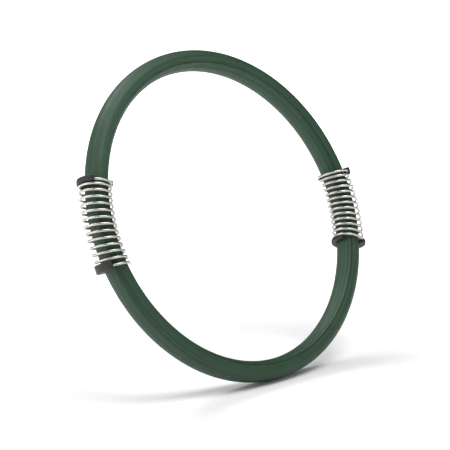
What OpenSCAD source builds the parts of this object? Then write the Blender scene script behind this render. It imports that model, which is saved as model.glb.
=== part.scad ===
// Sprung hoop: a covered ring with two coil springs threaded on it. Each spring is
// held between two C-shaped seats, and the seats slide along the cover.
// Millimetres. The hoop's axis lies along Y and its front face looks towards -Y.
// A place along the hoop is an angle from +X towards +Z.
// A place round the tube is an angle from the front (0) towards the outside (90).

/* [Hoop] */
// Radius of the hoop's centreline
hoop_r = 164; // [150:1:190]
// Width of the cover, from the inside of the hoop to the outside
cover_w = 21.2; // [20:0.1:21.6]
// Depth of the cover along the hoop's axis
cover_d = 24.8; // [23:0.1:25]
// Squareness of the cover's section, where 2 is an ellipse
cover_power = 2.25; // [2:0.05:2.5]
// Wall of the cover
cover_wall = 2.4; // [1.8:0.1:3]
// Outside diameter of the core tube
core_d = 12; // [10:0.5:14]
// Wall of the core tube
core_wall = 1.5; // [1:0.1:2]
// Gap between the ends of the two halves
butt_gap = 0.3; // [0.1:0.1:0.8]

/* [Seam] */
// Place of the seam round the section, on the side of the hoop's inside
seam_at = -23; // [-34:1:-12]
// Radius of the groove along the seam
groove_r = 0.5; // [0.3:0.05:0.6]
// Radius of the bead beside the groove
bead_r = 0.6; // [0.3:0.05:0.7]

/* [Splices] */
// Angle of the hoop that a spigot reaches to each side of its joint
spigot_reach = 9; // [7:0.5:12]
// Angle from a joint to each of its roll pins
pin_at = 5; // [3:0.5:6]
// Outside diameter of a roll pin
pin_d = 3; // [2.5:0.1:3.5]
// Wall of a roll pin
pin_wall = 0.6; // [0.4:0.1:0.8]

/* [Springs] */
// Wire diameter
wire_d = 2.6; // [2.4:0.1:2.7]
// Radius of a coil, to the middle of the wire
coil_r = 15.8; // [15.7:0.05:15.9]
// How far the left coils stand off the centreline, towards the outside
left_off = 1.7; // [1.2:0.1:1.8]
// How far the right coils stand off the centreline, towards the outside
right_off = 0.8; // [0.5:0.1:1.2]

/* [Seats] */
// Height of the left upper seat along the tube
left_upper_h = 5.6; // [5.4:0.1:7]
// Height of the left lower seat
left_lower_h = 8.6; // [8:0.1:9]
// Height of the right upper seat
right_upper_h = 6.6; // [6.6:0.1:8]
// Height of the right lower seat
right_lower_h = 4.1; // [4:0.1:6]
// Outside radius of a seat
seat_r = 18.2; // [18.1:0.1:19]
// Play between the cover and a seat
seat_play = 0.35; // [0.3:0.05:0.5]
// Play between the wire and the walls of its channel
wire_play = 0.4; // [0.35:0.05:0.4]
// Depth of the grip grooves round a seat
grip_depth = 0.4; // [0.2:0.1:0.5]

/* [Hidden] */
$fn = 96;

left_joint = 180;
right_joint = 0;
half_w = cover_w / 2;
half_d = cover_d / 2;
fit_gap = 0.05;
foam_w = half_w - cover_wall - fit_gap;
foam_d = half_d - cover_wall - fit_gap;
core_bore = core_d / 2 - core_wall;
spigot_r = core_bore - fit_gap;
gap_angle = butt_gap / hoop_r * 90 / PI;
section_points = 60;
green = [0.10, 0.22, 0.16];
steel = [0.80, 0.80, 0.78];
black = [0.13, 0.13, 0.14];

// A spring is a list: hoop angle at the start of its wire, pitch in degrees of hoop,
// shortfall of the start and its fade in turns, shortfall of the finish and its fade,
// turns, place round the tube where the wire starts, lean of the coils at the start
// and at the finish, and stand-off. Angles along the hoop rise from start to finish.
left_coil = [165.8, 2.33, 1.36, 0.85, 0, 1, 13.39, 80, -2, 8, left_off];
right_coil = [-13.88, 2.16, 0.146, 0.4, 1.15, 0.6, 12.77, 103, 5.1, 7, right_off];

// Each seat is a list: hoop angle of its middle, direction of its spring along the
// hoop, places round the tube where it starts and finishes, stand-off, lean and height.
function half_turn(h) = h / hoop_r * 90 / PI;
seat_lu = [166.5 - half_turn(left_upper_h), 1, 37, 296, left_off, -2, left_upper_h];
seat_ll = [193.2 + half_turn(left_lower_h), -1, 40, 262, left_off + 0.2, 8, left_lower_h];
seat_ru = [10.9 + half_turn(right_upper_h), -1, 35, 210, right_off + 0.2, 10, right_upper_h];
seat_rl = [-13.5 - half_turn(right_lower_h), 1, 30, 299, right_off, 5, right_lower_h];

// ---------------------------------------------------------------- places and paths

// Unit vectors at a hoop angle: outwards, along the hoop, and to the front.
function out_dir(a) = [cos(a), 0, sin(a)];
function along_dir(a) = [-sin(a), 0, cos(a)];
front_dir = [0, -1, 0];

// Rounded-rectangle section of half widths w and d, in the plane (outwards, front).
function power_of(v, p) = sign(v) * pow(abs(v), p);
function section(w, d) =
    [for (i = [0 : section_points - 1])
        let (a = i * 360 / section_points)
        [w * power_of(cos(a), 2 / cover_power), d * power_of(sin(a), 2 / cover_power)]];

// Point on that section at a place round the tube.
function section_radius(w, d, a) =
    pow(pow(abs(sin(a)) / w, cover_power) + pow(abs(cos(a)) / d, cover_power), -1 / cover_power);
function section_point(w, d, a) = section_radius(w, d, a) * [sin(a), cos(a)];

// Hoop angle of a coil after t turns: a steady pitch, with closer turns at both ends.
function coil_angle(c, t) =
    c[0] + c[1] * t - c[2] * (1 - exp(-t / c[3]))
    - c[4] * (exp((t - c[6]) / c[5]) - exp(-c[6] / c[5]));

// Middle of the wire after t turns. The coil is wound left-handed.
function wire_place(c, t) = c[7] - 360 * t;
function wire_point(c, t) =
    let (a = coil_angle(c, t), place = wire_place(c, t),
         lean = c[8] + (c[9] - c[8]) * t / c[6],
         across = out_dir(a - lean))
    (hoop_r + c[10]) * out_dir(a) + coil_r * (sin(place) * across + cos(place) * front_dir);

// ---------------------------------------------------------------- shared shapes

// Sweeps a flat section along the hoop between two hoop angles.
module along_hoop(from, to)
    rotate([90, 0, 0])
        rotate([0, 0, from])
            rotate_extrude(angle = to - from)
                translate([hoop_r, 0])
                    children();

// Puts a shape, built about Z with its outside towards +X, at a hoop angle.
// Its front looks towards +Y before the turn. The lean tips it about the hoop's axis.
module at_hoop(a, lean = 0)
    rotate([90, 0, 0])
        rotate([0, 0, a])
            translate([hoop_r, 0, 0])
                rotate([90, 0, 180])
                    mirror([1, 0, 0])
                        rotate([0, lean, 0])
                            children();

module half_core(from)
    color(steel)
        difference() {
            along_hoop(from + gap_angle, from + 180 - gap_angle)
                difference() {
                    circle(d = core_d);
                    circle(r = core_bore);
                }
            for (a = [from + pin_at, from + 180 - pin_at])
                pin_hole(a);
        }

module pin_hole(a)
    at_hoop(a)
        rotate([90, 0, 0])
            cylinder(d = pin_d, h = 2 * core_d, center = true, $fn = 32);

module spigot(joint)
    color(steel)
        difference() {
            along_hoop(joint - spigot_reach, joint + spigot_reach)
                circle(r = spigot_r);
            for (side = [-1, 1])
                pin_hole(joint + side * pin_at);
        }

// A roll pin is a slit tube, as long as the core tube is wide.
module roll_pin(a)
    color(steel)
        at_hoop(a)
            rotate([90, 0, 0])
                difference() {
                    cylinder(d = pin_d - fit_gap, h = core_d - 1, center = true, $fn = 32);
                    cylinder(d = pin_d - 2 * pin_wall, h = core_d, center = true, $fn = 32);
                    translate([pin_d / 2, 0, 0])
                        cube([pin_d, pin_wall, core_d], center = true);
                }

module half_foam(from)
    color("gainsboro")
        along_hoop(from + gap_angle, from + 180 - gap_angle)
            difference() {
                polygon(section(foam_w, foam_d));
                circle(r = core_d / 2 + fit_gap);
            }

// The cover's closing seam is a groove with a raised bead on its outer side.
module half_cover(from)
    color(green)
        along_hoop(from + gap_angle, from + 180 - gap_angle)
            difference() {
                union() {
                    polygon(section(half_w, half_d));
                    translate(section_point(half_w - bead_r / 2, half_d - bead_r / 2, seam_at + 5))
                        circle(r = bead_r, $fn = 24);
                }
                polygon(section(half_w - cover_wall, half_d - cover_wall));
                translate(section_point(half_w, half_d, seam_at))
                    circle(r = groove_r, $fn = 24);
            }

// ---------------------------------------------------------------- springs

rings_per_turn = 20;
ring_sides = 8;

function unit(v) = v / norm(v);

// Ring of points round the wire at t turns.
function wire_ring(c, t) =
    let (here = wire_point(c, t),
         ahead = unit(wire_point(c, t + 0.01) - wire_point(c, t - 0.01)),
         radial = here - (hoop_r + c[10]) * out_dir(coil_angle(c, t)),
         side = unit(cross(ahead, radial)),
         lift = cross(side, ahead))
    [for (j = [0 : ring_sides - 1])
        let (b = j * 360 / ring_sides)
        here + wire_d / 2 * (cos(b) * lift + sin(b) * side)];

module coil_spring(c) {
    rings = floor(c[6] * rings_per_turn);
    points = [for (i = [0 : rings]) each wire_ring(c, i * c[6] / rings)];
    walls = [for (i = [0 : rings - 1], j = [0 : ring_sides - 1])
        let (k = (j + 1) % ring_sides, low = i * ring_sides, high = low + ring_sides)
        [low + j, low + k, high + k, high + j]];
    tip = [for (j = [0 : ring_sides - 1]) ring_sides - 1 - j];
    tail = [for (j = [0 : ring_sides - 1]) rings * ring_sides + j];
    color(steel)
        polyhedron(points, concat([tip], walls, [tail]));
}

// ---------------------------------------------------------------- seats

channel_in = coil_r - wire_d / 2 - wire_play;
channel_out = coil_r + wire_d / 2 + wire_play;
seat_chamfer = 0.8;
grip_w = 0.45;
grip_share = 3.4;
least_floor = 0.6;

// How far the middle of the wire lies from a seat's middle, towards the spring.
function wire_height(s, c, t) =
    s[1] * (wire_point(c, t) - hoop_r * out_dir(s[0])) * along_dir(s[0] - s[5]);

// Whether the seat reaches round to the wire's place after t turns.
function seat_covers(s, c, t) =
    let (place = wire_place(c, t) + 360 * ceil(t))
    place % 360 >= s[2] && place % 360 <= s[3];

// Height of the channel floor: under the lowest wire of the end turn in the seat.
function floor_height(s, c) =
    let (first = s[1] > 0 ? 0 : c[6] - 1)
    max(least_floor - s[6] / 2,
        min([for (e = [0 : 0.02 : 1]) if (seat_covers(s, c, first + e)) wire_height(s, c, first + e)])
        - wire_d / 2 - wire_play);

// Half section of a seat of height h, from its axis out, with its channel, whose floor
// is at height low, and its grip grooves.
function seat_section(h, low) =
    let (top = h / 2, step = (h - 2 * seat_chamfer) / grip_share)
    concat(
        [[0, -top], [seat_r - seat_chamfer, -top], [seat_r, seat_chamfer - top]],
        [for (i = [-1 : 1], e = [[0, -1], [1, -1], [1, 1], [0, 1]])
            [seat_r - e[0] * grip_depth, i * step + e[1] * grip_w / 2]],
        [[seat_r, top - seat_chamfer], [channel_out, top], [channel_out, low],
         [channel_in, low], [channel_in, top], [0, top]]);

// The seat's own frame has Z towards its spring, +X outwards and +Y to the front.
module seat(s, c)
    color(black)
        difference() {
            at_hoop(s[0], s[5])
                mirror([0, 0, s[1] > 0 ? 0 : 1])
                    translate([s[4], 0, 0])
                        rotate([0, 0, 90 - s[3]])
                            rotate_extrude(angle = s[3] - s[2])
                                polygon(seat_section(s[6], floor_height(s, c)));
            at_hoop(s[0])
                linear_extrude(height = 3 * s[6], center = true)
                    polygon(section(half_w + seat_play, half_d + seat_play));
        }

// ---------------------------------------------------------------- nodes

module core_upper() half_core(right_joint);
module core_lower() half_core(left_joint);
module spigot_left() spigot(left_joint);
module spigot_right() spigot(right_joint);
module roll_pin_left_upper() roll_pin(left_joint - pin_at);
module roll_pin_left_lower() roll_pin(left_joint + pin_at);
module roll_pin_right_upper() roll_pin(right_joint + pin_at);
module roll_pin_right_lower() roll_pin(right_joint - pin_at);
module foam_upper() half_foam(right_joint);
module foam_lower() half_foam(left_joint);
module cover_upper() half_cover(right_joint);
module cover_lower() half_cover(left_joint);
module spring_left() coil_spring(left_coil);
module spring_right() coil_spring(right_coil);
module seat_left_upper() seat(seat_lu, left_coil);
module seat_left_lower() seat(seat_ll, left_coil);
module seat_right_upper() seat(seat_ru, right_coil);
module seat_right_lower() seat(seat_rl, right_coil);

core_upper();
core_lower();
spigot_left();
spigot_right();
roll_pin_left_upper();
roll_pin_left_lower();
roll_pin_right_upper();
roll_pin_right_lower();
foam_upper();
foam_lower();
cover_upper();
cover_lower();
spring_left();
spring_right();
seat_left_upper();
seat_left_lower();
seat_right_upper();
seat_right_lower();
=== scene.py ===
"""Looks of a sprung hoop: a green covered ring with two coil springs between black seats.

Metres. The hoop's axis lies along Y, its front face looks towards -Y, and +Z is up.
A hoop angle runs from +X towards +Z, in degrees. A place round the tube runs from the
front (0) towards the outside of the hoop (90), in degrees.
"""

import logging
from dataclasses import dataclass, field
from enum import Enum

import bpy
import numpy as np
from mathutils import Matrix, Vector


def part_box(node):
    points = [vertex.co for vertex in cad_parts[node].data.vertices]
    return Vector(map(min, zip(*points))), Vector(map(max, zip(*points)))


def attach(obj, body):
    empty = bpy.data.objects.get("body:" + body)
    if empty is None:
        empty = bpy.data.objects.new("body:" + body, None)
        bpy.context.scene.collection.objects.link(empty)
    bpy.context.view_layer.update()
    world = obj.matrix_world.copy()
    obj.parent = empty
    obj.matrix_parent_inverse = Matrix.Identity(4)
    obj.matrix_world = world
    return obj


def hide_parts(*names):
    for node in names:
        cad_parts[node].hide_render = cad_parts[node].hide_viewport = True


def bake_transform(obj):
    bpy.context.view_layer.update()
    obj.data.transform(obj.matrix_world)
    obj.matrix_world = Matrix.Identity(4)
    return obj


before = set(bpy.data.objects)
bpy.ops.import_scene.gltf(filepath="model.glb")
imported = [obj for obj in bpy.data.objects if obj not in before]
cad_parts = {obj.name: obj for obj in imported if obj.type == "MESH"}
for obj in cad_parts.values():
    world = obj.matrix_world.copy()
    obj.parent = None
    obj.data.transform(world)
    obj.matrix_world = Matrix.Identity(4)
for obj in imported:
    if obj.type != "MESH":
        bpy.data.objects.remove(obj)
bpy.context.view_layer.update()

log = logging.getLogger("sprung_hoop")

Array = np.ndarray
Color = tuple[float, float, float]
FRONT = np.array([0.0, -1.0, 0.0])
MILLIMETRE = 0.001


class Slot(Enum):
    """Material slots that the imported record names."""

    CORE = "core_steel"
    PIN = "pin_steel"
    FOAM = "foam"
    COVER = "green_cover"
    WIRE = "spring_wire"
    SEAT = "seat_rubber"


class Side(Enum):
    """The two springs, by the side of the hoop that each is on."""

    LEFT = "left"
    RIGHT = "right"


class End(Enum):
    """The two ends of a spring."""

    LOWER = "lower"
    UPPER = "upper"


# ---------------------------------------------------------------- directions and sections


def out_dir(angle: Array | float) -> Array:
    """Unit vectors (cos a, 0, sin a) that point outwards at hoop angles in degrees."""
    a = np.radians(angle)
    return np.stack([np.cos(a), np.zeros_like(a), np.sin(a)], axis=-1)


def along_dir(angle: Array | float) -> Array:
    """Unit vectors (-sin a, 0, cos a) along the hoop at hoop angles in degrees."""
    a = np.radians(angle)
    return np.stack([-np.sin(a), np.zeros_like(a), np.cos(a)], axis=-1)


def smooth_step(value: Array, start: float, end: float) -> Array:
    """Rises from 0 at start to 1 at end as 3t^2 - 2t^3, with t the share of the way."""
    t = np.clip((value - start) / (end - start), 0.0, 1.0)
    return t * t * (3.0 - 2.0 * t)


def unit(vectors: Array) -> Array:
    """The vectors along the last axis, each divided by its length."""
    return vectors / np.linalg.norm(vectors, axis=-1, keepdims=True)


@dataclass(frozen=True)
class TubeSection:
    """Superellipse |x/w|^p + |y/d|^p = 1, with x outwards and y to the front."""

    half_w: float
    half_d: float
    power: float = 2.25

    def radius(self, place: Array) -> Array:
        """Distance from the middle to the edge, (|sin/w|^p + |cos/d|^p)^(-1/p) of the place.

        Args:
            place: Places round the tube in degrees.

        Returns:
            The distances in metres.
        """
        a = np.radians(place)
        across = np.abs(np.sin(a)) / self.half_w
        deep = np.abs(np.cos(a)) / self.half_d
        return (across**self.power + deep**self.power) ** (-1.0 / self.power)

    def inset(self, amount: float) -> "TubeSection":
        """The same kind of section, smaller by an amount on every side."""
        return TubeSection(self.half_w - amount, self.half_d - amount, self.power)

    def level(self, across: Array, deep: Array) -> Array:
        """|x/w|^p + |y/d|^p, which is under 1 inside the section.

        Args:
            across: Distances outwards.
            deep: Distances to the front.

        Returns:
            The level at each pair of distances.
        """
        return (np.abs(across) / self.half_w) ** self.power + (
            np.abs(deep) / self.half_d
        ) ** self.power


def hoop_points(radius: float, angle: Array, place: Array, reach: Array) -> Array:
    """Points (R + r sin p) out + r cos p front, for hoop angles a, places p and reaches r.

    Args:
        radius: The hoop's centreline radius.
        angle: Hoop angles in degrees.
        place: Places round the tube in degrees.
        reach: Distances from the tube's middle.

    Returns:
        The points, with a last axis of 3.
    """
    p = np.radians(place)
    outward = (radius + reach * np.sin(p))[..., None] * out_dir(angle)
    return outward + (reach * np.cos(p))[..., None] * FRONT


# ---------------------------------------------------------------- meshes


class Closing(Enum):
    """How a swept surface closes along its length."""

    CAPS = "caps"
    LOOP = "loop"


def signed_volume(points: Array, quads: Array) -> float:
    """Sum of a . (b x c) / 6 over the two triangles of each quad.

    Args:
        points: Points, n by 3.
        quads: Corner indices, m by 4.

    Returns:
        The volume inside, negative where the faces look inwards.
    """
    a, b, c, d = (points[quads[:, k]] for k in range(4))
    first = np.einsum("ij,ij->i", a, np.cross(b, c))
    second = np.einsum("ij,ij->i", a, np.cross(c, d))
    return float((first + second).sum() / 6.0)


def make_object(
    name: str,
    points: Array,
    quads: Array,
    corner_uv: Array,
    caps: list[Array],
    cap_uv: list[Array],
) -> bpy.types.Object:
    """A smooth-shaded mesh object at the origin.

    Args:
        name: The object's name.
        points: Points, n by 3.
        quads: Corner indices, m by 4.
        corner_uv: Length and girth in metres at each quad corner, m by 4 by 2.
        caps: Corner indices of each end polygon.
        cap_uv: Length and girth at the corners of each end polygon.

    Returns:
        The object, linked to the scene.
    """
    if signed_volume(points, quads) < 0.0:
        quads = quads[:, ::-1]
        corner_uv = corner_uv[:, ::-1]
        caps = [cap[::-1] for cap in caps]
        cap_uv = [cap[::-1] for cap in cap_uv]
    corners = np.concatenate([quads.ravel(), *caps]).astype(np.int32)
    totals = np.concatenate(
        [np.full(len(quads), 4), np.array([len(c) for c in caps], dtype=int)]
    ).astype(np.int32)
    starts = np.concatenate([[0], np.cumsum(totals)[:-1]]).astype(np.int32)
    mesh = bpy.data.meshes.new(name)
    mesh.vertices.add(len(points))
    mesh.vertices.foreach_set("co", points.astype(np.float32).ravel())
    mesh.loops.add(len(corners))
    mesh.loops.foreach_set("vertex_index", corners)
    mesh.polygons.add(len(totals))
    mesh.polygons.foreach_set("loop_start", starts)
    mesh.polygons.foreach_set("loop_total", totals)
    mesh.polygons.foreach_set("use_smooth", np.ones(len(totals), dtype=bool))
    uv = mesh.uv_layers.new(name="Surface")
    flat = np.concatenate([corner_uv.reshape(-1, 2), *cap_uv])
    uv.data.foreach_set("uv", flat.astype(np.float32).ravel())
    mesh.update(calc_edges=True)
    mesh.validate()
    made = bpy.data.objects.new(name, mesh)
    bpy.context.scene.collection.objects.link(made)
    return made


def swept(
    name: str, rings: Array, length: Array, girth: Array, closing: Closing
) -> bpy.types.Object:
    """A closed surface through rings of points.

    Args:
        name: The object's name.
        rings: Points, rings by sides by 3. Each ring is a closed loop.
        length: Distance along the sweep at each ring, in metres.
        girth: Distance round each ring at each side and once more at the first.
        closing: CAPS closes both end rings, and LOOP joins the last ring to the first.

    Returns:
        The object, linked to the scene.
    """
    rows, cols = rings.shape[:2]
    steps = rows if closing is Closing.LOOP else rows - 1
    i = np.arange(steps)[:, None]
    j = np.arange(cols)[None, :]
    i_next, j_next = (i + 1) % rows, (j + 1) % cols
    quads = np.stack(
        [i * cols + j, i * cols + j_next, i_next * cols + j_next, i_next * cols + j], axis=-1
    ).reshape(-1, 4)
    far = np.concatenate([length, length[:1]]) if closing is Closing.LOOP else length
    near_u = np.broadcast_to(far[:steps, None], (steps, cols))
    far_u = np.broadcast_to(far[1 : steps + 1, None], (steps, cols))
    near_v = np.broadcast_to(girth[None, :cols], (steps, cols))
    far_v = np.broadcast_to(girth[None, 1:], (steps, cols))
    uv = np.stack(
        [
            np.stack([near_u, near_v], -1),
            np.stack([near_u, far_v], -1),
            np.stack([far_u, far_v], -1),
            np.stack([far_u, near_v], -1),
        ],
        axis=2,
    ).reshape(-1, 4, 2)
    caps: list[Array] = []
    cap_uv: list[Array] = []
    if closing is Closing.CAPS:
        caps = [np.arange(cols)[::-1], (rows - 1) * cols + np.arange(cols)]
        first = np.stack([np.full(cols, length[0]), girth[:cols]], -1)
        last = np.stack([np.full(cols, length[-1]), girth[:cols]], -1)
        cap_uv = [first[::-1], last]
    return make_object(name, rings.reshape(-1, 3), quads, uv, caps, cap_uv)


def ring_girth(ring: Array) -> Array:
    """Distance round a closed ring of points, at each point and once more at the first."""
    steps = np.linalg.norm(np.roll(ring, -1, axis=0) - ring, axis=-1)
    return np.concatenate([[0.0], np.cumsum(steps)])


# ---------------------------------------------------------------- cover and foam


@dataclass(frozen=True)
class CoverSizes:
    """Sizes of the covered tube, in metres and degrees."""

    wall: float = 2.4 * MILLIMETRE
    fit_gap: float = 0.05 * MILLIMETRE
    butt_gap: float = 0.3 * MILLIMETRE
    core_radius: float = 6.0 * MILLIMETRE
    seam_place: float = -23.0
    bead_place: float = -18.6
    groove_half: float = 2.8
    groove_depth: float = 0.75 * MILLIMETRE
    bead_half: float = 2.5
    bead_rise: float = 0.30 * MILLIMETRE
    seam_before: float = 4.0
    seam_after: float = 9.0
    seam_step: float = 0.25
    plain_places: int = 420
    ridge_rise: float = 0.09 * MILLIMETRE
    ridge_count: int = 42
    ridge_fade: tuple[float, float] = (6.0, 12.0)
    edge_round: float = 0.12 * MILLIMETRE
    cover_rings: int = 130
    foam_rings: int = 150
    foam_places: int = 96
    foam_slack: float = 0.02 * MILLIMETRE
    foam_ripples: int = 31


class HoopHalf:
    """One half of the hoop, from one butt joint to the other."""

    def __init__(self, radius: float, section: TubeSection, sizes: CoverSizes) -> None:
        """Keeps the centreline radius, the cover's outer section, and the sizes.

        Args:
            radius: The hoop's centreline radius.
            section: The cover's outer section.
            sizes: The other sizes.
        """
        self.radius = radius
        self.section = section
        self.sizes = sizes

    def angles(self, start: float, count: int) -> Array:
        """Hoop angles from one butt joint to the other, less the gap at each."""
        gap = np.degrees(self.sizes.butt_gap / 2.0 / self.radius)
        return np.linspace(start + gap, start + 180.0 - gap, count)

    def places(self) -> Array:
        """Places round the tube, packed closely round the seam.

        Returns:
            Places in degrees, rising, over one turn.
        """
        s = self.sizes
        first, last = s.seam_place - s.seam_before, s.seam_place + s.seam_after
        near = np.arange(first, last, s.seam_step)
        rest = np.linspace(last, first + 360.0, s.plain_places, endpoint=False)
        return np.concatenate([near, rest])

    def outer_reach(self, place: Array) -> Array:
        """Section radius plus the bead and fine ridges, less the seam groove.

        The bead and the groove are each a raised cosine (1 + cos(pi d / h)) / 2 of the
        distance d in degrees from its own place, over a half width h. The ridges are a
        cosine of the place, which fades out round the seam.

        Args:
            place: Places round the tube in degrees.

        Returns:
            Distances from the tube's middle to the cover's outside.
        """
        s = self.sizes
        off_seam = (place - s.seam_place + 180.0) % 360.0 - 180.0
        off_bead = (place - s.bead_place + 180.0) % 360.0 - 180.0
        groove = np.where(
            np.abs(off_seam) < s.groove_half,
            0.5 + 0.5 * np.cos(np.pi * off_seam / s.groove_half),
            0.0,
        )
        bead = np.where(
            np.abs(off_bead) < s.bead_half, 0.5 + 0.5 * np.cos(np.pi * off_bead / s.bead_half), 0.0
        )
        clear = smooth_step(np.abs(off_seam), *s.ridge_fade)
        ridges = (0.5 * np.cos(np.radians(place) * s.ridge_count) - 0.5) * s.ridge_rise * clear
        return self.section.radius(place) + bead * s.bead_rise - groove * s.groove_depth + ridges

    def cover(self, name: str, start: float) -> bpy.types.Object:
        """The cover half: its outside, a rounded lip at each end, and its inside.

        Args:
            name: The piece's name.
            start: Hoop angle of the half's first joint.

        Returns:
            The piece.
        """
        place = self.places()
        outer = self.outer_reach(place)
        inner = self.section.inset(self.sizes.wall).radius(place)
        return self._shell(name, start, place, outer, inner, self.sizes.cover_rings)

    def foam(self, name: str, start: float) -> bpy.types.Object:
        """The foam half, between the cover's inside and the round core.

        Args:
            name: The piece's name.
            start: Hoop angle of the half's first joint.

        Returns:
            The piece.
        """
        s = self.sizes
        place = np.linspace(0.0, 360.0, s.foam_places, endpoint=False)
        ripples = s.foam_slack * np.cos(np.radians(place) * s.foam_ripples)
        outer = self.section.inset(s.wall + s.fit_gap + s.foam_slack).radius(place) + ripples
        inner = np.full(len(place), s.core_radius + s.fit_gap)
        return self._shell(name, start, place, outer, inner, s.foam_rings)

    def _shell(
        self, name: str, start: float, place: Array, outer: Array, inner: Array, count: int
    ) -> bpy.types.Object:
        """A tube wall as one closed loop of rings: out along the outside, back along the inside.

        Args:
            name: The piece's name.
            start: Hoop angle of the half's first joint.
            place: Places round the tube.
            outer: Reach of the outside at each place.
            inner: Reach of the inside at each place.
            count: Rings along the outside.

        Returns:
            The piece.
        """
        angles = self.angles(start, count)
        lip = self.sizes.edge_round
        turn = np.radians([0.0, 30.0, 60.0, 90.0])
        step = np.degrees(lip / self.radius)
        lead = angles[0] + step * (1.0 - np.cos(turn))
        lead_reach = outer[None, :] - lip * (1.0 - np.sin(turn))[:, None]
        tail = angles[-1] - step * (1.0 - np.cos(turn[::-1]))
        tail_reach = lead_reach[::-1]
        middle = angles[1:-1]
        outer_angle = np.concatenate([lead, middle, tail])
        outer_reach = np.concatenate(
            [lead_reach, np.broadcast_to(outer, (len(middle), len(outer))), tail_reach]
        )
        inner_angle = angles[::-2]
        if inner_angle[-1] != angles[0]:
            inner_angle = np.append(inner_angle, angles[0])
        inner_reach = np.broadcast_to(inner, (len(inner_angle), len(inner)))
        all_angle = np.concatenate([outer_angle, inner_angle])
        reach = np.concatenate([outer_reach, inner_reach])
        rings = hoop_points(self.radius, all_angle[:, None], place[None, :], reach)
        section_ring = hoop_points(self.radius, np.zeros(len(place)), place, outer)
        length = np.radians(all_angle) * self.radius
        return swept(name, rings, length, ring_girth(section_ring), Closing.LOOP)


# ---------------------------------------------------------------- springs


@dataclass(frozen=True)
class Coil:
    """Path of a spring's wire round the hoop, in degrees, turns and metres."""

    start_angle: float
    pitch: float
    start_short: float
    start_fade: float
    finish_short: float
    finish_fade: float
    turns: float
    start_place: float
    start_lean: float
    finish_lean: float
    stand_off: float
    coil_radius: float = 15.6 * MILLIMETRE
    wire_radius: float = 1.3 * MILLIMETRE

    def angle(self, turn: Array) -> Array:
        """Hoop angle a0 + p t - s (1 - e^(-t/f)) - s' (e^((t-n)/f') - e^(-n/f')).

        Args:
            turn: Turns from the start of the wire.

        Returns:
            Hoop angles in degrees.
        """
        steady = self.start_angle + self.pitch * turn
        opening = self.start_short * (1.0 - np.exp(-turn / self.start_fade))
        closing = self.finish_short * (
            np.exp((turn - self.turns) / self.finish_fade) - np.exp(-self.turns / self.finish_fade)
        )
        return steady - opening - closing

    def place(self, turn: Array) -> Array:
        """Place round the tube after t turns, wound left-handed."""
        return self.start_place - 360.0 * turn

    def centre(self, turn: Array, radius: float) -> Array:
        """Middle of the coil after t turns: (R + stand-off) outwards at its hoop angle."""
        return (radius + self.stand_off) * out_dir(self.angle(turn))

    def point(self, turn: Array, radius: float) -> Array:
        """Middle of the wire: the coil's middle + c (sin p across + cos p front), leaning.

        Args:
            turn: Turns from the start of the wire.
            radius: The hoop's centreline radius.

        Returns:
            Points in metres.
        """
        place = np.radians(self.place(turn))
        lean = self.start_lean + (self.finish_lean - self.start_lean) * turn / self.turns
        across = out_dir(self.angle(turn) - lean)
        spoke = np.sin(place)[..., None] * across + np.cos(place)[..., None] * FRONT
        return self.centre(turn, radius) + self.coil_radius * spoke


COILS = {
    Side.LEFT: Coil(165.8, 2.33, 1.36, 0.85, 0.0, 1.0, 13.39, 80.0, -2.0, 8.0, 1.7 * MILLIMETRE),
    Side.RIGHT: Coil(
        -13.88, 2.16, 0.146, 0.4, 1.15, 0.6, 12.77, 103.0, 5.1, 7.0, 0.8 * MILLIMETRE
    ),
}


class CoilSpring:
    """A round wire wound round the covered tube."""

    RINGS_PER_TURN = 72
    SIDES = 18
    EDGE_ROUND = 0.35 * MILLIMETRE
    LOOK_AHEAD = 0.004

    def __init__(self, coil: Coil, radius: float) -> None:
        """Keeps the coil's path and the hoop's centreline radius."""
        self.coil = coil
        self.radius = radius

    def build(self, name: str) -> bpy.types.Object:
        """Rings round the wire's path, with a small rounded edge and a flat end at each tip.

        Each ring is w (cos b lift + sin b side), where w is the wire's radius, side is
        across the path and the coil's spoke, and lift is across both.

        Args:
            name: The piece's name.

        Returns:
            The piece.
        """
        c = self.coil
        count = int(c.turns * self.RINGS_PER_TURN)
        turn = np.linspace(0.0, c.turns, count)
        per_turn = 2.0 * np.pi * c.coil_radius
        bend = np.radians([0.0, 25.0, 50.0, 75.0])
        shrink = self.EDGE_ROUND * (1.0 - np.cos(bend[::-1]))
        lead = self.EDGE_ROUND * (1.0 - np.cos(bend)) / per_turn
        turns = np.concatenate([lead, turn[1:-1], c.turns - lead[::-1]])
        slim = np.concatenate([shrink, np.zeros(count - 2), shrink[::-1]])
        middle = c.point(turns, self.radius)
        ahead = unit(
            c.point(turns + self.LOOK_AHEAD, self.radius)
            - c.point(turns - self.LOOK_AHEAD, self.radius)
        )
        side = unit(np.cross(ahead, middle - c.centre(turns, self.radius)))
        lift = np.cross(side, ahead)
        b = np.linspace(0.0, 2.0 * np.pi, self.SIDES, endpoint=False)
        across = lift[:, None] * np.cos(b)[None, :, None] + side[:, None] * np.sin(b)[None, :, None]
        rings = middle[:, None] + (c.wire_radius - slim)[:, None, None] * across
        girth = np.linspace(0.0, 2.0 * np.pi * c.wire_radius, self.SIDES + 1)
        return swept(name, rings, turns * per_turn, girth, Closing.CAPS)


# ---------------------------------------------------------------- seats


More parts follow.
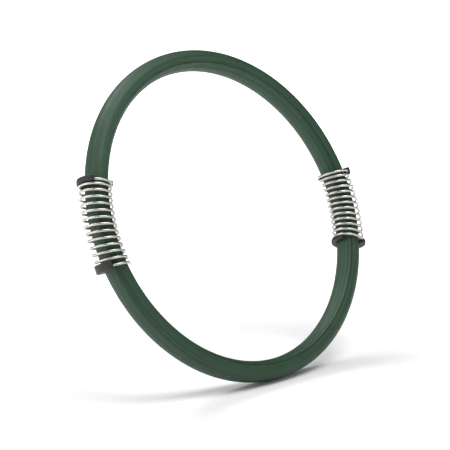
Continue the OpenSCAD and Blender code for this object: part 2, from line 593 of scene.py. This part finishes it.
@dataclass(frozen=True)
class SeatSizes:
    """Sizes of a seat's profile, in metres."""

    radius: float = 18.2 * MILLIMETRE
    bore_play: float = 0.14 * MILLIMETRE
    wire_play: float = 0.38 * MILLIMETRE
    grip_depth: float = 0.42 * MILLIMETRE
    grip_half: float = 0.22 * MILLIMETRE
    grip_share: float = 3.4
    corner: float = 0.9 * MILLIMETRE
    least_floor: float = 0.8 * MILLIMETRE
    under_wire: float = 0.08 * MILLIMETRE
    under_face: float = 0.15 * MILLIMETRE
    bed_round: float = 0.35 * MILLIMETRE
    lip: float = 0.25 * MILLIMETRE
    lip_out: float = 0.12 * MILLIMETRE
    bore_flare: float = 0.3 * MILLIMETRE
    end_round: float = 0.45 * MILLIMETRE
    end_taper: float = 0.55 * MILLIMETRE
    end_reach: float = 3.0 * MILLIMETRE


@dataclass(frozen=True)
class SeatPlan:
    """Where a seat is: its face's hoop angle, its spring's direction, arc, stand-off, lean, height."""

    face: float
    direction: int
    first_place: float
    last_place: float
    stand_off: float
    lean: float
    height: float

    def angle(self, radius: float) -> float:
        """Hoop angle of the seat's middle: its face's, less half its height."""
        return self.face - self.direction * float(np.degrees(self.height / 2.0 / radius))


def seat_plans() -> dict[tuple[Side, End], SeatPlan]:
    """The four seats, by side and end.

    Returns:
        A plan for each side and end.
    """
    left, right = COILS[Side.LEFT].stand_off, COILS[Side.RIGHT].stand_off
    mm = MILLIMETRE
    return {
        (Side.LEFT, End.UPPER): SeatPlan(166.5, 1, 37.0, 296.0, left, -2.0, 5.6 * mm),
        (Side.LEFT, End.LOWER): SeatPlan(193.2, -1, 40.0, 262.0, left + 0.2 * mm, 8.0, 8.6 * mm),
        (Side.RIGHT, End.UPPER): SeatPlan(10.9, -1, 35.0, 210.0, right + 0.2 * mm, 10.0, 6.6 * mm),
        (Side.RIGHT, End.LOWER): SeatPlan(-13.5, 1, 30.0, 299.0, right, 5.0, 4.1 * mm),
    }


class SpringSeat:
    """A C-shaped seat that clips round the cover and takes a spring's end coil."""

    HALVINGS = 34
    BORE_LIMIT = 17.0 * MILLIMETRE
    TIP_TURNS = 0.012
    RINGS = 260
    WALL_POINTS = 56
    BED_POINTS = 9
    BORE_POINTS = 12

    def __init__(
        self, plan: SeatPlan, sizes: SeatSizes, coil: Coil, bore: TubeSection, radius: float
    ) -> None:
        """Keeps the seat's plan and sizes, its spring's coil, its bore, and the hoop's radius.

        Args:
            plan: Where the seat is, and its arc, lean and height.
            sizes: The profile's sizes.
            coil: The spring's path.
            bore: The bore's section.
            radius: The hoop's centreline radius.
        """
        self.plan = plan
        self.sizes = sizes
        self.coil = coil
        self.bore = bore
        self.radius = radius
        self.across = out_dir(plan.angle(radius) - plan.lean)
        self.towards = plan.direction * along_dir(plan.angle(radius) - plan.lean)
        self.origin = radius * out_dir(plan.angle(radius))

    def bore_reach(self, place: Array, height: Array) -> Array:
        """Distance from the seat's middle to its bore, found by halving an interval.

        The bore stays square to the tube while the seat leans, so a point's distance
        outwards is x cos(lean) + z sin(lean), with x and z in the leaning seat.

        Args:
            place: Places round the seat in degrees.
            height: Heights along the seat's own axis.

        Returns:
            Distances in metres.
        """
        p = np.radians(place)
        lean = np.radians(self.plan.lean)
        low = np.zeros(np.broadcast(place, height).shape)
        high = np.full(low.shape, self.BORE_LIMIT)
        for _ in range(self.HALVINGS):
            reach = (low + high) / 2.0
            x = self.plan.stand_off + reach * np.sin(p)
            level = self.bore.level(
                x * np.cos(lean) + self.plan.direction * height * np.sin(lean), reach * np.cos(p)
            )
            low = np.where(level < 1.0, reach, low)
            high = np.where(level < 1.0, high, reach)
        return high

    def floor(self, place: Array) -> Array:
        """Height of the channel's floor: just under the lowest pass of the wire at a place.

        Args:
            place: Places round the seat in degrees.

        Returns:
            Heights along the seat's own axis.
        """
        c, s = self.coil, self.sizes
        passes = np.arange(-1, int(c.turns) + 3)[:, None]
        turn = (c.start_place - place[None, :]) / 360.0 + passes
        real = (turn > -self.TIP_TURNS) & (turn < c.turns + self.TIP_TURNS)
        wire = c.point(np.clip(turn, 0.0, c.turns), self.radius) - self.origin
        low = wire @ self.towards - c.wire_radius - s.under_wire
        lowest = np.where(real, low, 1.0).min(axis=0)
        top = self.plan.height / 2.0 - s.under_face
        return np.clip(lowest, s.least_floor - self.plan.height / 2.0, top)

    def build(self, name: str) -> bpy.types.Object:
        """Sweeps the profile round the arc of places, with rounded ends.

        The profile runs out along the back face, up the outside over rounded grip
        grooves, across the rim, down and up the channel, and back down the bore. At each
        end it shrinks along its own normals by e (1 - sin b) while it moves by
        e (1 - cos b), and its outside also tapers over a longer reach.

        Args:
            name: The piece's name.

        Returns:
            The piece.
        """
        s, plan = self.sizes, self.plan
        span = plan.last_place - plan.first_place
        turn = np.radians(np.linspace(0.0, 90.0, 6))
        step = float(np.degrees(s.end_round / s.radius))
        near = step * (1.0 - np.cos(turn))
        middle = np.linspace(step * 1.2, span - step * 1.2, self.RINGS)
        offset = np.concatenate([near, middle, span - near[::-1]])
        shrink = s.end_round * (1.0 - np.sin(turn))
        inset = np.concatenate([shrink, np.zeros(len(middle)), shrink[::-1]])
        place = plan.first_place + offset
        arc = np.radians(np.minimum(offset, span - offset)) * s.radius
        taper = s.end_taper * (1.0 - np.sqrt(1.0 - (1.0 - np.clip(arc / s.end_reach, 0, 1)) ** 2))
        reach, height = self._profile(place, taper)
        along = np.roll(reach, -1, 1) - np.roll(reach, 1, 1)
        rise = np.roll(height, -1, 1) - np.roll(height, 1, 1)
        size = np.hypot(along, rise) + 1e-12
        reach = reach - inset[:, None] * rise / size
        height = height + inset[:, None] * along / size
        p = np.radians(place)[:, None]
        x = plan.stand_off + reach * np.sin(p)
        rings = (
            self.origin
            + x[..., None] * self.across
            + (reach * np.cos(p))[..., None] * FRONT
            + height[..., None] * self.towards
        )
        girth = ring_girth(rings[len(place) // 2])
        return swept(name, rings, np.radians(place) * s.radius, girth, Closing.CAPS)

    def _profile(self, place: Array, taper: Array) -> tuple[Array, Array]:
        """Reach and height of each profile point at each place, as two arrays.

        Args:
            place: Places round the seat in degrees.
            taper: How far the outside is drawn in at each place.

        Returns:
            Reaches and heights, places by profile points.
        """
        s, c = self.sizes, self.coil
        half, r, corner = self.plan.height / 2.0, s.radius, s.corner
        bend = np.linspace(0.0, np.pi / 2.0, 6)
        low_r = r - corner * (1.0 - np.sin(bend))
        low_z = -half + corner * (1.0 - np.cos(bend))
        wall_z = np.linspace(-half + corner * 1.15, half - corner * 1.15, self.WALL_POINTS)
        step = (self.plan.height - 2.0 * corner) / s.grip_share
        to_groove = np.abs((wall_z + step * 50.5) % step - step / 2.0)
        dip = np.where(
            to_groove < s.grip_half, 0.5 + 0.5 * np.cos(np.pi * to_groove / s.grip_half), 0.0
        )
        wall_r = r - s.grip_depth * dip
        outside_r = np.concatenate([low_r, wall_r, low_r[::-1]])
        outside_z = np.concatenate([low_z, wall_z, -low_z[::-1]])
        rows = len(place)
        outer = np.broadcast_to(outside_r, (rows, len(outside_r))) - taper[:, None]
        outer_z = np.broadcast_to(outside_z, (rows, len(outside_z)))
        wide = c.coil_radius + c.wire_radius + s.wire_play
        slim = c.coil_radius - c.wire_radius - s.wire_play
        floor = self.floor(place)
        depth = half - floor
        lip = np.minimum(s.lip, depth * 0.4)
        down = np.stack([np.full(rows, wide + s.lip_out), np.full(rows, wide)], 1)
        down_z = np.stack([np.full(rows, half), half - lip], 1)
        steps = np.linspace(0.0, 1.0, self.BED_POINTS)
        bed = wide + (slim - wide) * steps
        round_bed = s.bed_round * (2.0 * np.abs(steps - 0.5)) ** 4
        bed_r = np.broadcast_to(bed, (rows, self.BED_POINTS))
        bed_z = floor[:, None] + np.minimum(round_bed[None, :], (depth - lip)[:, None] * 0.9)
        up = np.stack([np.full(rows, slim), np.full(rows, slim - s.lip_out)], 1)
        up_z = down_z[:, ::-1]
        bore_z = np.linspace(half, -half, self.BORE_POINTS)
        bore_z_all = np.broadcast_to(bore_z, (rows, self.BORE_POINTS))
        bore = self.bore_reach(place[:, None], bore_z_all)
        flare = s.bore_flare * (np.abs(bore_z) > half - 1e-9)
        reach = np.concatenate([outer, down, bed_r, up, bore + flare[None, :]], 1)
        height = np.concatenate([outer_z, down_z, bed_z, up_z, bore_z_all], 1)
        return reach, height


# ---------------------------------------------------------------- shader groups


class GroupSketch:
    """Builds one shared shader group with named sockets."""

    def __init__(self, name: str) -> None:
        """Starts an empty group.

        Args:
            name: The group's name.
        """
        self.tree = bpy.data.node_groups.new(name, "ShaderNodeTree")
        self.inlet = self.tree.nodes.new("NodeGroupInput")
        self.outlet = self.tree.nodes.new("NodeGroupOutput")

    def takes(self, name: str, kind: str, default: float | None = None) -> None:
        """Adds an input socket.

        Args:
            name: The socket's name.
            kind: The socket's type.
            default: Its value while nothing is linked.
        """
        made = self.tree.interface.new_socket(name=name, in_out="INPUT", socket_type=kind)
        if default is not None:
            made.default_value = default

    def gives(self, name: str, kind: str) -> None:
        """Adds an output socket."""
        self.tree.interface.new_socket(name=name, in_out="OUTPUT", socket_type=kind)

    def node(self, kind: str, **inputs: object) -> bpy.types.Node:
        """Adds a node; each named input is a socket to link or a constant to set."""
        return add_node(self.tree, kind, inputs)

    def math(self, operation: str, first: object, second: object = 0.0) -> object:
        """Adds a Math node and returns its output socket.

        Args:
            operation: Which sum to do.
            first: A socket or a number.
            second: A socket or a number.

        Returns:
            The node's output socket.
        """
        made = self.tree.nodes.new("ShaderNodeMath")
        made.operation = operation
        feed(self.tree, made.inputs[0], first)
        feed(self.tree, made.inputs[1], second)
        return made.outputs[0]

    def give(self, name: str, value: object) -> None:
        """Links a value to an output socket."""
        feed(self.tree, self.outlet.inputs[name], value)


def feed(tree: bpy.types.NodeTree, socket: bpy.types.NodeSocket, value: object) -> None:
    """Links a socket to value if value is a socket, and otherwise sets it as a constant.

    Args:
        tree: The tree that holds the socket.
        socket: The input socket.
        value: Another socket, a number, a vector or a colour.
    """
    if isinstance(value, bpy.types.NodeSocket):
        tree.links.new(value, socket)
    elif isinstance(value, tuple) and len(value) == 3 and socket.type == "RGBA":
        socket.default_value = (*value, 1.0)
    else:
        socket.default_value = value


def add_node(tree: bpy.types.NodeTree, kind: str, inputs: dict[str, object]) -> bpy.types.Node:
    """Adds a node and feeds its inputs, whose names are written with _ for a space.

    Args:
        tree: The tree that gets the node.
        kind: The node's type.
        inputs: Values or sockets by the input's name.

    Returns:
        The node.
    """
    made = tree.nodes.new(kind)
    for name, value in inputs.items():
        feed(tree, made.inputs[name.replace("_", " ")], value)
    return made


def lines_group() -> bpy.types.NodeTree:
    """Fine lines along the first coordinate: noise stretched along it, as height and mask.

    Returns:
        The group, with outputs Height and Mask.
    """
    g = GroupSketch("fine_lines")
    g.takes("Position", "NodeSocketVector")
    g.takes("Across", "NodeSocketFloat", 1500.0)
    g.takes("Along", "NodeSocketFloat", 20.0)
    g.gives("Height", "NodeSocketFloat")
    g.gives("Mask", "NodeSocketFloat")
    parts = g.node("ShaderNodeSeparateXYZ", Vector=g.inlet.outputs["Position"])
    u = g.math("MULTIPLY", parts.outputs["X"], g.inlet.outputs["Along"])
    v = g.math("MULTIPLY", parts.outputs["Y"], g.inlet.outputs["Across"])
    place = g.node("ShaderNodeCombineXYZ", X=u, Y=v, Z=parts.outputs["Z"])
    fine = g.node("ShaderNodeTexNoise", Vector=place.outputs[0], Scale=1.0, Detail=3.0)
    broad = g.node("ShaderNodeTexNoise", Vector=place.outputs[0], Scale=0.27, Detail=1.0)
    wide = g.math("MULTIPLY", broad.outputs["Fac"], 0.4)
    height = g.math("ADD", g.math("MULTIPLY", fine.outputs["Fac"], 0.7), wide)
    mask = g.node("ShaderNodeMapRange", Value=height, From_Min=0.50, From_Max=0.62)
    g.give("Height", height)
    g.give("Mask", mask.outputs["Result"])
    return g.tree


def mottle_group() -> bpy.types.NodeTree:
    """Slow blotches: noise at a size in metres, spread between two values.

    Returns:
        The group, with output Value.
    """
    g = GroupSketch("mottle")
    g.takes("Position", "NodeSocketVector")
    g.takes("Size", "NodeSocketFloat", 0.02)
    g.takes("Low", "NodeSocketFloat", 0.0)
    g.takes("High", "NodeSocketFloat", 1.0)
    g.gives("Value", "NodeSocketFloat")
    scale = g.math("DIVIDE", 1.0, g.inlet.outputs["Size"])
    noise = g.node(
        "ShaderNodeTexNoise", Vector=g.inlet.outputs["Position"], Scale=scale, Detail=4.0
    )
    spread = g.node(
        "ShaderNodeMapRange",
        Value=noise.outputs["Fac"],
        From_Min=0.3,
        From_Max=0.7,
        To_Min=g.inlet.outputs["Low"],
        To_Max=g.inlet.outputs["High"],
    )
    g.give("Value", spread.outputs["Result"])
    return g.tree


def grain_group() -> bpy.types.NodeTree:
    """Moulded grain: small rounded cells as height, with sparse pits as mask.

    Returns:
        The group, with outputs Height and Mask.
    """
    g = GroupSketch("moulded_grain")
    g.takes("Position", "NodeSocketVector")
    g.takes("Size", "NodeSocketFloat", 0.0005)
    g.gives("Height", "NodeSocketFloat")
    g.gives("Mask", "NodeSocketFloat")
    scale = g.math("DIVIDE", 1.0, g.inlet.outputs["Size"])
    cells = g.node("ShaderNodeTexVoronoi", Vector=g.inlet.outputs["Position"], Scale=scale)
    noise = g.node(
        "ShaderNodeTexNoise", Vector=g.inlet.outputs["Position"], Scale=scale, Detail=2.0
    )
    height = g.math("ADD", cells.outputs["Distance"], noise.outputs["Fac"])
    pits = g.node("ShaderNodeMapRange", Value=noise.outputs["Fac"], From_Min=0.6, From_Max=0.8)
    g.give("Height", height)
    g.give("Mask", pits.outputs["Result"])
    return g.tree


# ---------------------------------------------------------------- materials


class Mapping(Enum):
    """The coordinates a material reads."""

    SURFACE = "surface"
    OBJECT = "object"


@dataclass(frozen=True)
class Finish:
    """A material's numbers: two colours, roughness range, metal, and its texture."""

    name: str
    slot: Slot
    mapping: Mapping
    color: Color
    color_two: Color
    rough_low: float
    rough_high: float
    metallic: float = 0.0
    specular: float = 0.5
    blotch_size: float = 0.02
    lines_across: float = 0.0
    lines_along: float = 20.0
    line_color: float = 0.0
    bump: float = 0.0
    bump_depth: float = 0.00005
    grain_size: float = 0.0


COVER_FINISH = Finish(
    name="cover rubber",
    slot=Slot.COVER,
    mapping=Mapping.SURFACE,
    color=(0.0165, 0.059, 0.0275),
    color_two=(0.0205, 0.069, 0.033),
    rough_low=0.48,
    rough_high=0.56,
    specular=0.45,
    blotch_size=0.035,
    lines_across=1300.0,
    lines_along=4.0,
    line_color=0.75,
    bump=1.0,
    bump_depth=0.0004,
)
WIRE_FINISH = Finish(
    name="bright spring wire",
    slot=Slot.WIRE,
    mapping=Mapping.SURFACE,
    color=(0.62, 0.60, 0.565),
    color_two=(0.53, 0.51, 0.48),
    rough_low=0.24,
    rough_high=0.38,
    metallic=0.9,
    blotch_size=0.006,
    lines_across=5200.0,
    lines_along=120.0,
    line_color=0.12,
    bump=0.25,
    bump_depth=0.00002,
)
SEAT_FINISH = Finish(
    name="moulded seat",
    slot=Slot.SEAT,
    mapping=Mapping.OBJECT,
    color=(0.016, 0.015, 0.016),
    color_two=(0.030, 0.027, 0.028),
    rough_low=0.45,
    rough_high=0.62,
    specular=0.5,
    blotch_size=0.006,
    bump=0.35,
    bump_depth=0.00006,
    grain_size=0.0006,
)
CORE_FINISH = Finish(
    name="core steel",
    slot=Slot.CORE,
    mapping=Mapping.OBJECT,
    color=(0.46, 0.46, 0.47),
    color_two=(0.36, 0.36, 0.37),
    rough_low=0.28,
    rough_high=0.45,
    metallic=1.0,
    blotch_size=0.01,
    bump=0.2,
    bump_depth=0.00002,
    grain_size=0.0008,
)
PIN_FINISH = Finish(
    name="pin steel",
    slot=Slot.PIN,
    mapping=Mapping.OBJECT,
    color=(0.20, 0.20, 0.21),
    color_two=(0.28, 0.28, 0.28),
    rough_low=0.30,
    rough_high=0.45,
    metallic=1.0,
    blotch_size=0.002,
    bump=0.2,
    bump_depth=0.00001,
    grain_size=0.0004,
)
FOAM_FINISH = Finish(
    name="closed-cell foam",
    slot=Slot.FOAM,
    mapping=Mapping.OBJECT,
    color=(0.62, 0.62, 0.58),
    color_two=(0.72, 0.72, 0.69),
    rough_low=0.8,
    rough_high=0.95,
    specular=0.3,
    blotch_size=0.004,
    bump=0.6,
    bump_depth=0.0001,
    grain_size=0.0007,
)
LINE_SHADE: Color = (0.35, 0.40, 0.36)
FINISHES = (COVER_FINISH, WIRE_FINISH, SEAT_FINISH, CORE_FINISH, PIN_FINISH, FOAM_FINISH)


@dataclass
class Paint:
    """Makes the materials from their finishes and hands them to pieces."""

    groups: dict[str, bpy.types.NodeTree] = field(default_factory=dict)
    made: dict[Slot, bpy.types.Material] = field(default_factory=dict)

    def prepare(self) -> None:
        """Builds the shared groups and every material."""
        self.groups = {"lines": lines_group(), "mottle": mottle_group(), "grain": grain_group()}
        for finish in FINISHES:
            self.made[finish.slot] = self.material(finish)
            log.info("material %s", finish.name)

    def give(self, piece: bpy.types.Object, slot: Slot) -> None:
        """Puts a slot's material on a piece.

        Args:
            piece: The piece.
            slot: The slot whose material it gets.
        """
        piece.data.materials.clear()
        piece.data.materials.append(self.made[slot])

    def _group(self, tree: bpy.types.NodeTree, key: str) -> bpy.types.Node:
        """Adds a shared group to a material's tree.

        Args:
            tree: The material's tree.
            key: The group's key.

        Returns:
            The group node.
        """
        made = tree.nodes.new("ShaderNodeGroup")
        made.node_tree = self.groups[key]
        return made

    def material(self, finish: Finish) -> bpy.types.Material:
        """One material: blotched colour and roughness, with lines or grain as relief.

        Args:
            finish: The material's numbers.

        Returns:
            The material.
        """
        made = bpy.data.materials.new(finish.name)
        made.use_nodes = True
        tree = made.node_tree
        tree.nodes.clear()
        outlet = tree.nodes.new("ShaderNodeOutputMaterial")
        shader = tree.nodes.new("ShaderNodeBsdfPrincipled")
        tree.links.new(shader.outputs[0], outlet.inputs["Surface"])
        shader.inputs["Metallic"].default_value = finish.metallic
        shader.inputs["Specular IOR Level"].default_value = finish.specular
        coordinates = tree.nodes.new("ShaderNodeTexCoord").outputs["Object"]
        surface = coordinates
        if finish.mapping is Mapping.SURFACE:
            uv = tree.nodes.new("ShaderNodeUVMap")
            uv.uv_map = "Surface"
            surface = uv.outputs[0]
        blotch = self._group(tree, "mottle")
        feed(tree, blotch.inputs["Position"], coordinates)
        feed(tree, blotch.inputs["Size"], finish.blotch_size)
        tint = tree.nodes.new("ShaderNodeMix")
        tint.data_type = "RGBA"
        feed(tree, tint.inputs[0], blotch.outputs["Value"])
        feed(tree, tint.inputs[6], finish.color)
        feed(tree, tint.inputs[7], finish.color_two)
        relief = self._group(tree, "lines" if finish.lines_across else "grain")
        feed(tree, relief.inputs["Position"], surface)
        if finish.lines_across:
            feed(tree, relief.inputs["Across"], finish.lines_across)
            feed(tree, relief.inputs["Along"], finish.lines_along)
        else:
            feed(tree, relief.inputs["Size"], finish.grain_size)
        darken = tree.nodes.new("ShaderNodeMix")
        darken.data_type = "RGBA"
        darken.blend_type = "MULTIPLY"
        shade = add_node(
            tree,
            "ShaderNodeMapRange",
            {"Value": relief.outputs["Mask"], "To_Min": 0.0, "To_Max": finish.line_color},
        )
        feed(tree, darken.inputs[0], shade.outputs["Result"])
        feed(tree, darken.inputs[6], tint.outputs[2])
        feed(tree, darken.inputs[7], LINE_SHADE)
        tree.links.new(darken.outputs[2], shader.inputs["Base Color"])
        rough = self._group(tree, "mottle")
        feed(tree, rough.inputs["Position"], coordinates)
        feed(tree, rough.inputs["Size"], finish.blotch_size * 0.37)
        feed(tree, rough.inputs["Low"], finish.rough_low)
        feed(tree, rough.inputs["High"], finish.rough_high)
        tree.links.new(rough.outputs["Value"], shader.inputs["Roughness"])
        bump = add_node(
            tree,
            "ShaderNodeBump",
            {
                "Strength": finish.bump,
                "Distance": finish.bump_depth,
                "Height": relief.outputs["Height"],
            },
        )
        tree.links.new(bump.outputs[0], shader.inputs["Normal"])
        return made


# ---------------------------------------------------------------- studio


@dataclass(frozen=True)
class Softbox:
    """A lamp: where it is along the camera's right, up and back, its size and its power."""

    name: str
    right: float
    up: float
    back: float
    size: float
    power: float
    color: Color = (1.0, 1.0, 1.0)


@dataclass(frozen=True)
class StudioSizes:
    """The camera's place and axes, the floor's slope, and the light."""

    eye: Color = (-1.49344, -1.64383, -0.37354)
    right: Color = (0.74704, -0.62663, -0.22195)
    up: Color = (0.06134, -0.26746, 0.96161)
    back: Color = (-0.66194, -0.73198, -0.16137)
    lens: float = 177.28
    floor_normal: Color = (-0.0949, -0.4310, 0.8974)
    floor_radius: float = 6.0
    floor_glow: float = 0.02
    floor_far_glow: float = 1.0
    floor_near: float = 0.22
    floor_far: float = 0.75
    sky: float = 0.02


SOFTBOXES = (
    Softbox("key_softbox", -1.3, 1.2, 1.2, 1.2, 13.5),
    Softbox("left_softbox", -2.0, 0.4, 0.6, 1.2, 12.5),
    Softbox("right_softbox", 1.8, 0.8, 0.8, 1.4, 8.0),
    Softbox("crown_softbox", 0.6, 1.9, 0.7, 1.3, 34.0),
    Softbox("rear_softbox", -1.0, 1.9, -0.6, 1.0, 25.0),
)


class Studio:
    """Floor, sky, softboxes and camera."""

    def __init__(self, sizes: StudioSizes, reach: float) -> None:
        """Keeps the sizes and the hoop's reach from its middle."""
        self.sizes = sizes
        self.reach = reach

    def build(self) -> None:
        """Makes everything that isn't part of the hoop, with plain colours on screen."""
        bpy.context.scene.view_settings.view_transform = "Standard"
        self._sky()
        self._floor()
        for box in SOFTBOXES:
            self._softbox(box)
        self._camera()

    def _basis(self) -> Array:
        """The camera's right, up and back as the columns of a matrix.

        Returns:
            A 3 by 3 matrix.
        """
        s = self.sizes
        right = unit(np.array(s.right))
        back = np.array(s.back)
        back = unit(back - (back @ right) * right)
        return np.stack([right, np.cross(back, right), back], axis=1)

    def _placed(self, made: bpy.types.Object, basis: Array, place: Array) -> None:
        """Sets an object's matrix from a basis and a place.

        Args:
            made: The object.
            basis: Its three axes as columns.
            place: Its origin.
        """
        full = np.eye(4)
        full[:3, :3] = basis
        full[:3, 3] = place
        made.matrix_world = Matrix(full.tolist())

    def _camera(self) -> None:
        """The camera, at the stated place and axes."""
        data = bpy.data.cameras.new("camera")
        data.lens = self.sizes.lens
        data.sensor_width = 36.0
        data.clip_start = 0.05
        data.clip_end = 50.0
        made = bpy.data.objects.new("camera", data)
        bpy.context.scene.collection.objects.link(made)
        self._placed(made, self._basis(), np.array(self.sizes.eye))
        bpy.context.scene.camera = made
        log.info("camera")

    def _softbox(self, box: Softbox) -> None:
        """A square area lamp that faces the hoop's middle.

        Args:
            box: The lamp.
        """
        place = self._basis() @ np.array([box.right, box.up, box.back])
        data = bpy.data.lights.new(box.name, "AREA")
        data.shape = "SQUARE"
        data.size = box.size
        data.energy = box.power
        data.color = box.color
        made = bpy.data.objects.new(box.name, data)
        bpy.context.scene.collection.objects.link(made)
        back = unit(place)
        right = unit(np.cross([0.0, 0.1, 1.0], back))
        self._placed(made, np.stack([right, np.cross(back, right), back], axis=1), place)
        log.info("softbox %s", box.name)

    def _sky(self) -> None:
        """An even white sky, brighter to the camera than to the hoop."""
        world = bpy.data.worlds.new("studio sky")
        world.use_nodes = True
        tree = world.node_tree
        tree.nodes.clear()
        outlet = tree.nodes.new("ShaderNodeOutputWorld")
        sky = tree.nodes.new("ShaderNodeBackground")
        path = tree.nodes.new("ShaderNodeLightPath")
        strength = add_node(
            tree,
            "ShaderNodeMapRange",
            {"Value": path.outputs["Is Camera Ray"], "To_Min": self.sizes.sky, "To_Max": 1.0},
        )
        tree.links.new(strength.outputs["Result"], sky.inputs["Strength"])
        sky.inputs["Color"].default_value = (1.0, 1.0, 1.0, 1.0)
        tree.links.new(sky.outputs[0], outlet.inputs["Surface"])
        bpy.context.scene.world = world

    def _floor(self) -> None:
        """A round white floor that touches the hoop's lowest point along its own normal."""
        normal = unit(np.array(self.sizes.floor_normal))
        drop = -self.reach
        right = unit(np.cross([0.0, 1.0, 0.0], normal))
        ahead = np.cross(normal, right)
        turn = np.linspace(0.0, 2.0 * np.pi, 96, endpoint=False)
        flat = np.cos(turn)[:, None] * right + np.sin(turn)[:, None] * ahead
        points = drop * normal + self.sizes.floor_radius * flat
        mesh = bpy.data.meshes.new("floor")
        mesh.from_pydata(points.tolist(), [], [list(range(len(points)))])
        mesh.update()
        made = bpy.data.objects.new("floor", mesh)
        bpy.context.scene.collection.objects.link(made)
        made.data.materials.append(self._floor_material())
        log.info("floor")

    def _floor_material(self) -> bpy.types.Material:
        """White paper that glows more away from the hoop, and can't be seen from behind.

        Returns:
            The material.
        """
        made = bpy.data.materials.new("white floor")
        made.use_nodes = True
        tree = made.node_tree
        tree.nodes.clear()
        outlet = tree.nodes.new("ShaderNodeOutputMaterial")
        shader = tree.nodes.new("ShaderNodeBsdfPrincipled")
        clear = tree.nodes.new("ShaderNodeBsdfTransparent")
        mix = tree.nodes.new("ShaderNodeMixShader")
        facing = tree.nodes.new("ShaderNodeNewGeometry")
        shader.inputs["Base Color"].default_value = (0.9, 0.9, 0.9, 1.0)
        shader.inputs["Roughness"].default_value = 0.9
        shader.inputs["Specular IOR Level"].default_value = 0.1
        shader.inputs["Emission Color"].default_value = (1.0, 1.0, 1.0, 1.0)
        place = tree.nodes.new("ShaderNodeTexCoord")
        length = tree.nodes.new("ShaderNodeVectorMath")
        length.operation = "LENGTH"
        tree.links.new(place.outputs["Object"], length.inputs[0])
        glow = add_node(
            tree,
            "ShaderNodeMapRange",
            {
                "Value": length.outputs["Value"],
                "From_Min": self.sizes.floor_near,
                "From_Max": self.sizes.floor_far,
                "To_Min": self.sizes.floor_glow,
                "To_Max": self.sizes.floor_far_glow,
            },
        )
        tree.links.new(glow.outputs["Result"], shader.inputs["Emission Strength"])
        tree.links.new(facing.outputs["Backfacing"], mix.inputs[0])
        tree.links.new(shader.outputs[0], mix.inputs[1])
        tree.links.new(clear.outputs[0], mix.inputs[2])
        tree.links.new(mix.outputs[0], outlet.inputs["Surface"])
        return made


# ---------------------------------------------------------------- the hoop


class SprungHoop:
    """The whole hoop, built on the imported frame."""

    def __init__(self) -> None:
        """Reads the hoop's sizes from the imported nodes."""
        low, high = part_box("cover_upper")
        core_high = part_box("core_upper")[1]
        self.sizes = CoverSizes()
        self.radius = core_high.z - self.sizes.core_radius
        half_w = high.z - self.radius
        half_d = min(high.y, -low.y)
        self.section = TubeSection(half_w, half_d)
        self.paint = Paint()
        log.info("hoop radius %.4f, cover %.4f by %.4f", self.radius, half_w, half_d)

    def build(self) -> None:
        """Makes every piece and its material."""
        self.paint.prepare()
        self._covers()
        self._springs()
        self._seats()
        self._core()

    def _covers(self) -> None:
        """The two cover halves and the two foam halves."""
        half = HoopHalf(self.radius, self.section, self.sizes)
        for end, start in ((End.UPPER, 0.0), (End.LOWER, 180.0)):
            cover = half.cover(f"hoop_cover_{end.value}", start)
            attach(cover, "hoop")
            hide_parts(f"cover_{end.value}")
            self.paint.give(cover, Slot.COVER)
            foam = half.foam(f"hoop_foam_{end.value}", start)
            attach(foam, "hoop")
            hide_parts(f"foam_{end.value}")
            self.paint.give(foam, Slot.FOAM)
            log.info("cover and foam, %s half", end.value)

    def _springs(self) -> None:
        """The two springs, which squeeze between their two seats."""
        for side in Side:
            spring = CoilSpring(COILS[side], self.radius).build(f"coil_spring_{side.value}")
            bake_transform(spring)
            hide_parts(f"spring_{side.value}")
            self.paint.give(spring, Slot.WIRE)
            log.info("spring, %s", side.value)

    def _seats(self) -> None:
        """The four seats."""
        sizes = SeatSizes()
        bore = self.section.inset(-sizes.bore_play)
        for (side, end), plan in seat_plans().items():
            seat = SpringSeat(plan, sizes, COILS[side], bore, self.radius)
            made = seat.build(f"spring_seat_{side.value}_{end.value}")
            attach(made, f"{side.value}_{end.value}_seat")
            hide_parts(f"seat_{side.value}_{end.value}")
            self.paint.give(made, Slot.SEAT)
            log.info("seat, %s %s", side.value, end.value)

    def _core(self) -> None:
        """Steel on the carried-over tubes, spigots and pins."""
        for name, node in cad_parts.items():
            if name.startswith(("core_", "spigot_")):
                self.paint.give(node, Slot.CORE)
            elif name.startswith("roll_pin_"):
                self.paint.give(node, Slot.PIN)


def floor_drop(radius: float, section: TubeSection, normal: Color) -> float:
    """The covered tube's reach from the hoop's middle against the floor's normal.

    It's the greatest of -n . point over the whole outside of the cover.

    Args:
        radius: The hoop's centreline radius.
        section: The cover's section.
        normal: The floor's normal.

    Returns:
        The distance from the hoop's middle to the floor.
    """
    angle = np.linspace(180.0, 360.0, 721)[:, None]
    place = np.linspace(0.0, 360.0, 361)[None, :]
    points = hoop_points(radius, angle, place, section.radius(place) + np.zeros_like(angle))
    return float(-(points @ unit(np.array(normal))).min())


def main() -> None:
    """Builds the hoop and its studio."""
    logging.basicConfig(level=logging.INFO, format="%(name)s: %(message)s")
    hoop = SprungHoop()
    hoop.build()
    sizes = StudioSizes()
    Studio(sizes, floor_drop(hoop.radius, hoop.section, sizes.floor_normal)).build()


if __name__ == "__main__":
    main()
